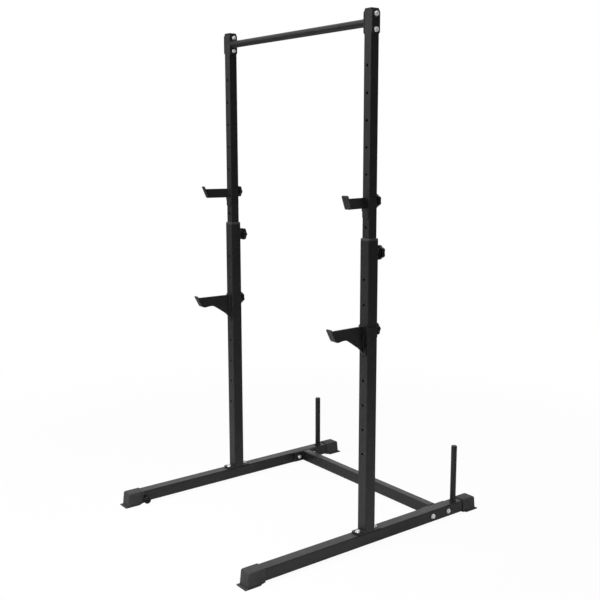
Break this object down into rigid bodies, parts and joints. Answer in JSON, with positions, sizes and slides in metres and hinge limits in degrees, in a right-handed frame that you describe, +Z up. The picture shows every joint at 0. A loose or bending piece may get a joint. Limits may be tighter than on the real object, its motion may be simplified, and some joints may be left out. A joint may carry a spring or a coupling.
{
  "type": "pull-up station",
  "caption": "Free-standing pull-up station: telescoping uprights on a floor frame, a fixed pull-up bar, bar hooks, safety arms and plate storage pegs.",
  "frame": {"origin": "centre of the footprint, on the floor", "axes": "+Z up, -Y the front, where the bar hooks and safety arms point, +X the right-hand side"},
  "size_m": [1.0272, 1.244, 2.0903],
  "materials": {
    "powder_coat": "satin charcoal powder coat",
    "shoe_plastic": "matte dark grey moulded plastic",
    "knob_plastic": "black moulded plastic",
    "zinc": "bright zinc plated steel",
    "black_steel": "blackened steel",
    "spring_steel": "bare spring steel",
    "wheel_plastic": "black nylon"
  },
  "bodies": {
    "stand": {"base_rail_left": "powder_coat", "lower_upright_left": "powder_coat", "plate_peg_left": "powder_coat", "end_shoe_front_left": "shoe_plastic", "end_shoe_rear_left": "shoe_plastic", "tube_bushing_left": "shoe_plastic", "peg_cap_left": "knob_plastic", "crossmember_bolt_left_front": "zinc", "crossmember_bolt_left_rear": "zinc", "base_plate_bolt_left_front": "zinc", "base_plate_bolt_left_rear": "zinc", "pin_housing_left": "black_steel", "wheel_axle_left": "black_steel", "pin_spring_left": "spring_steel", "base_rail_right": "powder_coat", "lower_upright_right": "powder_coat", "plate_peg_right": "powder_coat", "end_shoe_front_right": "shoe_plastic", "end_shoe_rear_right": "shoe_plastic", "tube_bushing_right": "shoe_plastic", "peg_cap_right": "knob_plastic", "crossmember_bolt_right_front": "zinc", "crossmember_bolt_right_rear": "zinc", "base_plate_bolt_right_front": "zinc", "base_plate_bolt_right_rear": "zinc", "pin_housing_right": "black_steel", "wheel_axle_right": "black_steel", "pin_spring_right": "spring_steel", "rear_crossmember": "powder_coat"},
    "upper_frame": {"upper_upright_left": "powder_coat", "bar_clamp_plate_left": "powder_coat", "tube_glide_left": "shoe_plastic", "top_cap_left": "knob_plastic", "bar_bolt_left_upper": "zinc", "bar_bolt_left_lower": "zinc", "upper_upright_right": "powder_coat", "bar_clamp_plate_right": "powder_coat", "tube_glide_right": "shoe_plastic", "top_cap_right": "knob_plastic", "bar_bolt_right_upper": "zinc", "bar_bolt_right_lower": "zinc", "pull_up_bar": "powder_coat"},
    "height_pin_left": {"pin_plunger_left": "zinc", "pin_knob_left": "knob_plastic"},
    "hook_left": {"bar_hook_left": "powder_coat"},
    "hook_knob_left": {"hook_knob_left": "knob_plastic"},
    "safety_left": {"safety_arm_left": "powder_coat"},
    "safety_knob_left": {"safety_knob_left": "knob_plastic"},
    "wheel_left": {"transport_wheel_left": "wheel_plastic"},
    "height_pin_right": {"pin_plunger_right": "zinc", "pin_knob_right": "knob_plastic"},
    "hook_right": {"bar_hook_right": "powder_coat"},
    "hook_knob_right": {"hook_knob_right": "knob_plastic"},
    "safety_right": {"safety_arm_right": "powder_coat"},
    "safety_knob_right": {"safety_knob_right": "knob_plastic"},
    "wheel_right": {"transport_wheel_right": "wheel_plastic"}
  },
  "joints": [
    {"name": "height_adjust", "type": "slide", "parent": "stand", "child": "upper_frame", "axis": [0, 0, 1], "range_m": [0, 0.2]},
    {"name": "height_pin_push_left", "type": "slide", "parent": "stand", "child": "height_pin_left", "axis": [0, -1, 0], "range_m": [0, 0.009], "deforming": ["pin_spring_left"]},
    {"name": "hook_lift_off_left", "type": "slide", "parent": "upper_frame", "child": "hook_left", "axis": [0, -1, 0], "range_m": [0, 0.07]},
    {"name": "hook_knob_turn_left", "type": "hinge", "parent": "upper_frame", "child": "hook_knob_left", "pos_m": [-0.475, 0.0183, 1.386], "axis": [0, 1, 0], "continuous": true},
    {"name": "safety_lift_off_left", "type": "slide", "parent": "stand", "child": "safety_left", "axis": [0, -1, 0], "range_m": [0, 0.08]},
    {"name": "safety_knob_turn_left", "type": "hinge", "parent": "stand", "child": "safety_knob_left", "pos_m": [-0.475, 0.0233, 0.886], "axis": [0, 1, 0], "continuous": true},
    {"name": "wheel_turn_left", "type": "hinge", "parent": "stand", "child": "wheel_left", "pos_m": [-0.4365, -0.52, 0.019], "axis": [1, 0, 0], "continuous": true},
    {"name": "height_pin_push_right", "type": "slide", "parent": "stand", "child": "height_pin_right", "axis": [0, -1, 0], "range_m": [0, 0.009], "deforming": ["pin_spring_right"]},
    {"name": "hook_lift_off_right", "type": "slide", "parent": "upper_frame", "child": "hook_right", "axis": [0, -1, 0], "range_m": [0, 0.07]},
    {"name": "hook_knob_turn_right", "type": "hinge", "parent": "upper_frame", "child": "hook_knob_right", "pos_m": [0.475, 0.0183, 1.386], "axis": [0, 1, 0], "continuous": true},
    {"name": "safety_lift_off_right", "type": "slide", "parent": "stand", "child": "safety_right", "axis": [0, -1, 0], "range_m": [0, 0.08]},
    {"name": "safety_knob_turn_right", "type": "hinge", "parent": "stand", "child": "safety_knob_right", "pos_m": [0.475, 0.0233, 0.886], "axis": [0, 1, 0], "continuous": true},
    {"name": "wheel_turn_right", "type": "hinge", "parent": "stand", "child": "wheel_right", "pos_m": [0.4365, -0.52, 0.019], "axis": [1, 0, 0], "continuous": true}
  ]
}
